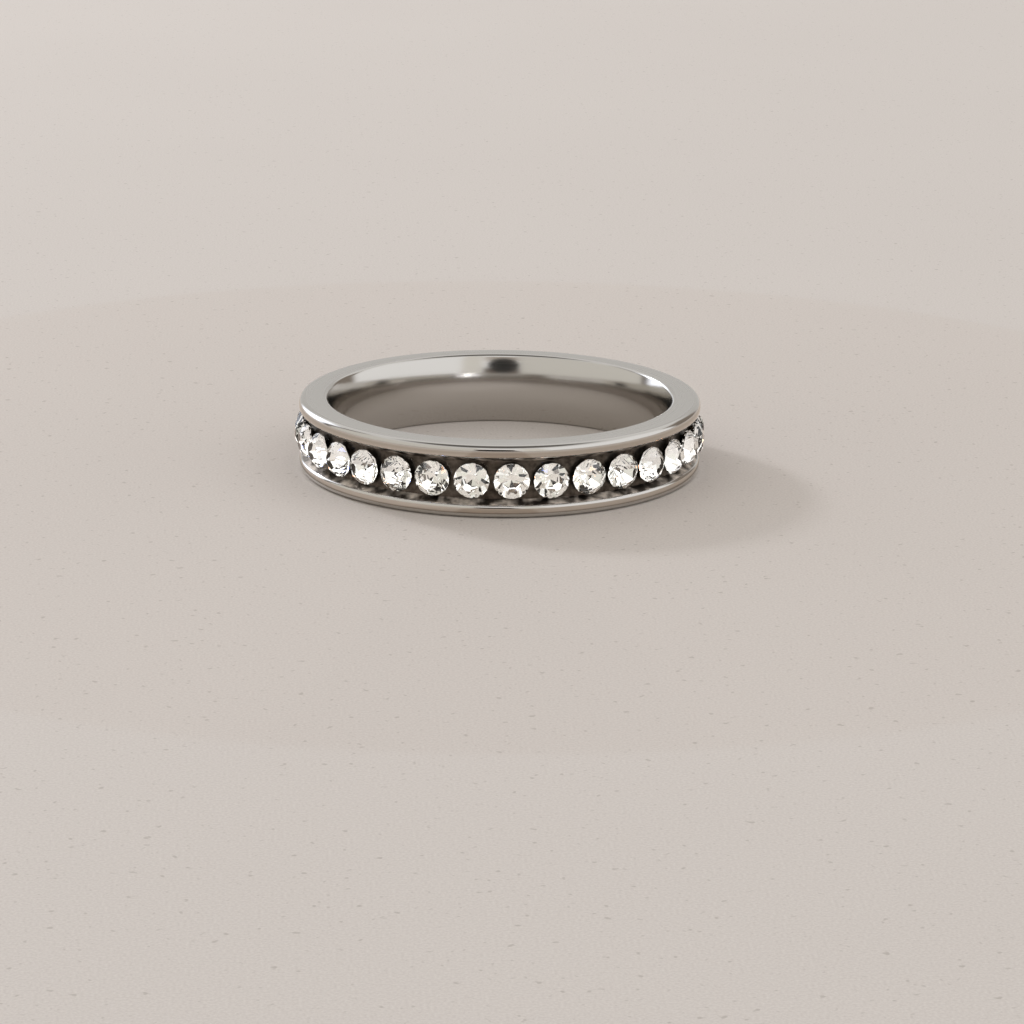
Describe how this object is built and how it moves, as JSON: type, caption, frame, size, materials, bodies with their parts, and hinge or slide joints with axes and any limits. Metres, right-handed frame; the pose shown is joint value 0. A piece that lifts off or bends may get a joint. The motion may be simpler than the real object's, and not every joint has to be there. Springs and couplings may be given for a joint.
{
  "type": "channel-set gemstone eternity ring",
  "caption": "Steel eternity ring with two polished rails and a dark channel that carries small round clear brilliants all the way round.",
  "frame": {"origin": "on the ring's axis, at the plane of the lower end face that it rests on", "axes": "+Z along the ring's axis, which is upright because the ring lies on its side; -Y towards the viewer of the picture"},
  "size_m": [0.0214, 0.0214, 0.0038],
  "materials": {
    "steel": "polished stainless steel, fine satin on the end faces, darkened in the channel",
    "crystal": "clear faceted crystal with a silvered back"
  },
  "bodies": {
    "root": {"band": "steel", "stone_01": "crystal", "stone_02": "crystal", "stone_03": "crystal", "stone_04": "crystal", "stone_05": "crystal", "stone_06": "crystal", "stone_07": "crystal", "stone_08": "crystal", "stone_09": "crystal", "stone_10": "crystal", "stone_11": "crystal", "stone_12": "crystal", "stone_13": "crystal", "stone_14": "crystal", "stone_15": "crystal", "stone_16": "crystal", "stone_17": "crystal", "stone_18": "crystal", "stone_19": "crystal", "stone_20": "crystal", "stone_21": "crystal", "stone_22": "crystal", "stone_23": "crystal", "stone_24": "crystal", "stone_25": "crystal", "stone_26": "crystal", "stone_27": "crystal", "stone_28": "crystal", "stone_29": "crystal", "stone_30": "crystal", "stone_31": "crystal", "stone_32": "crystal"}
  },
  "joints": []
}
